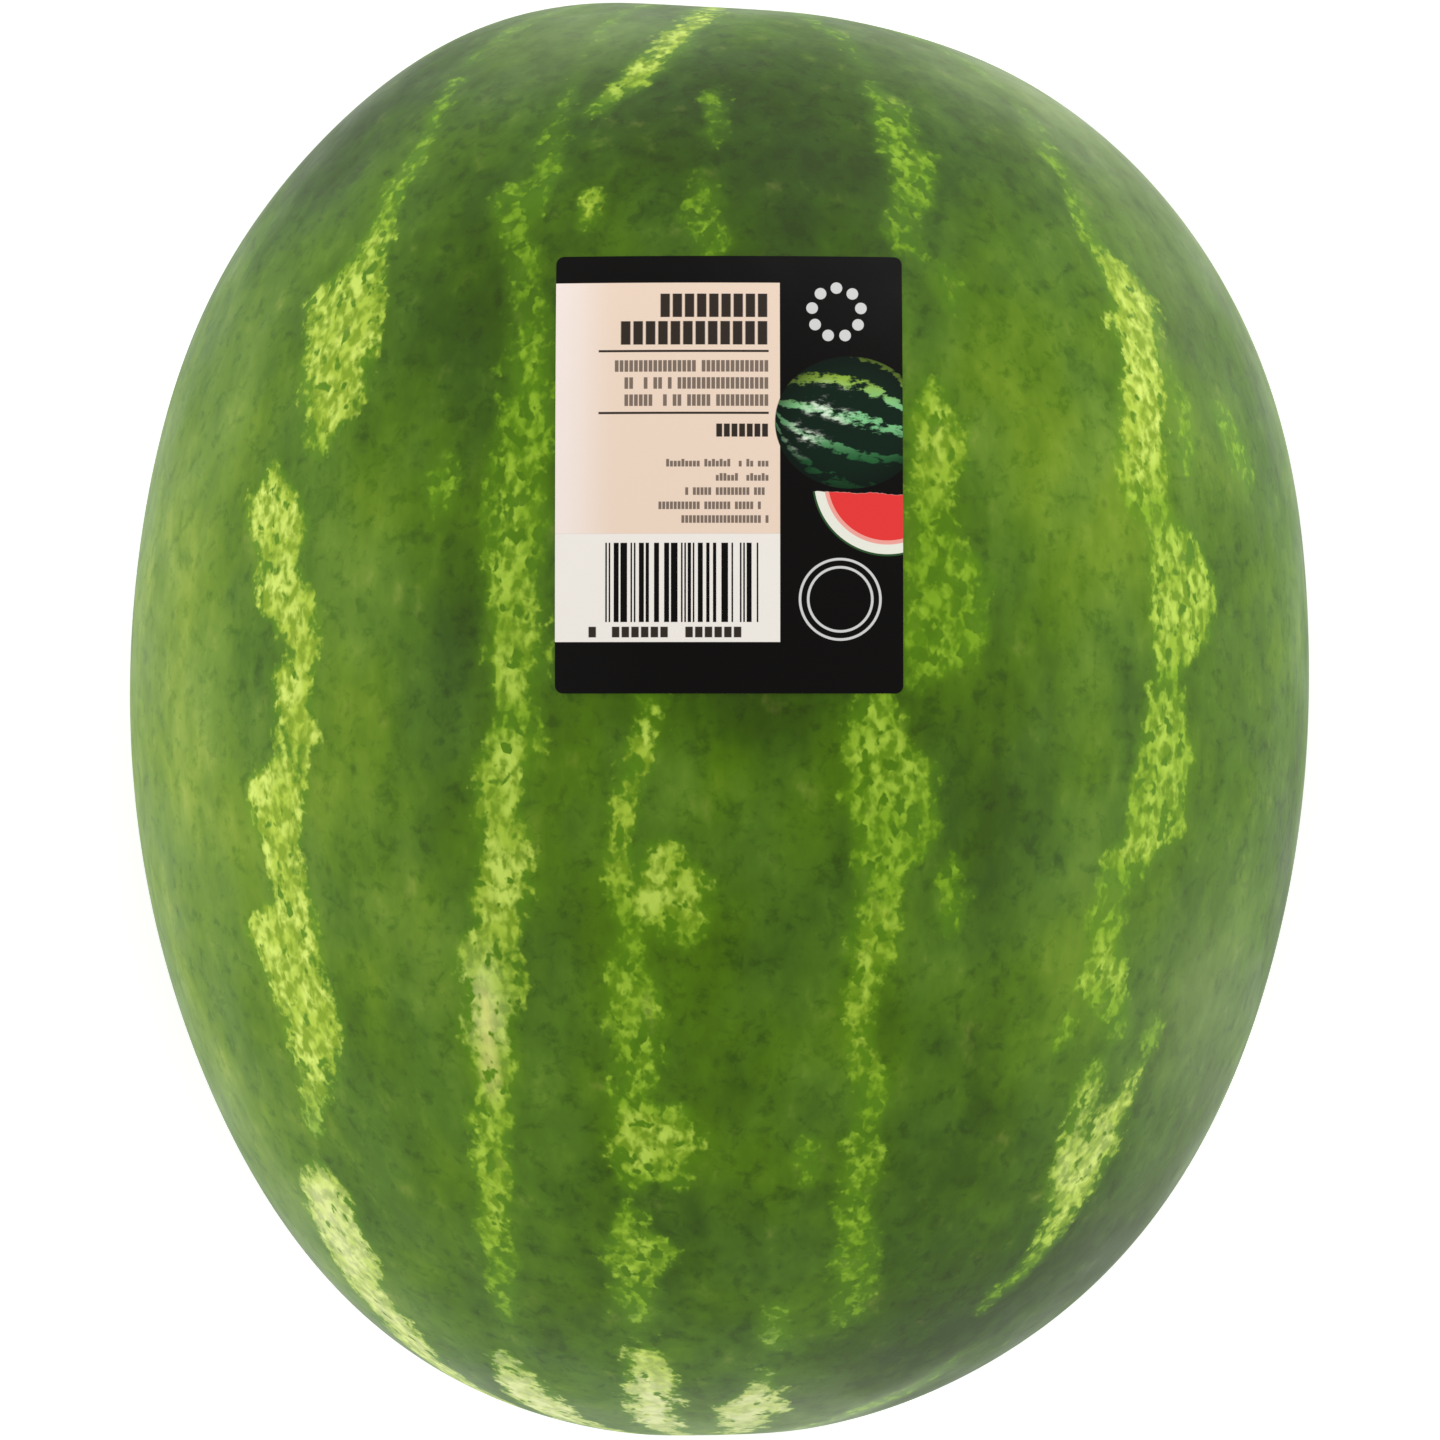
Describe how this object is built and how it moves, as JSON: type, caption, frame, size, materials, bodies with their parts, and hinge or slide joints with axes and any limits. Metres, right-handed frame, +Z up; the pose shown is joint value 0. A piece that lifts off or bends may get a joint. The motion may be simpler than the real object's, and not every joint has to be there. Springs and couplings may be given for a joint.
{
  "type": "watermelon",
  "caption": "Whole oblong watermelon lying on its side, dark green with broken pale stripes and a plain printed paper label on top.",
  "frame": {"origin": "middle of the object's box in plan, at the level of the flat spot that the fruit rests on", "axes": "+Z up, +Y along the fruit's long axis towards the stem end, +X to the right when looking along +Y; the label is on top, towards +Y"},
  "size_m": [0.2446, 0.2968, 0.2385],
  "materials": {
    "rind": null,
    "label_print": "satin coated paper, black ground with a pale printed panel"
  },
  "bodies": {
    "root": {"fruit": "rind", "label": "label_print"}
  },
  "joints": []
}
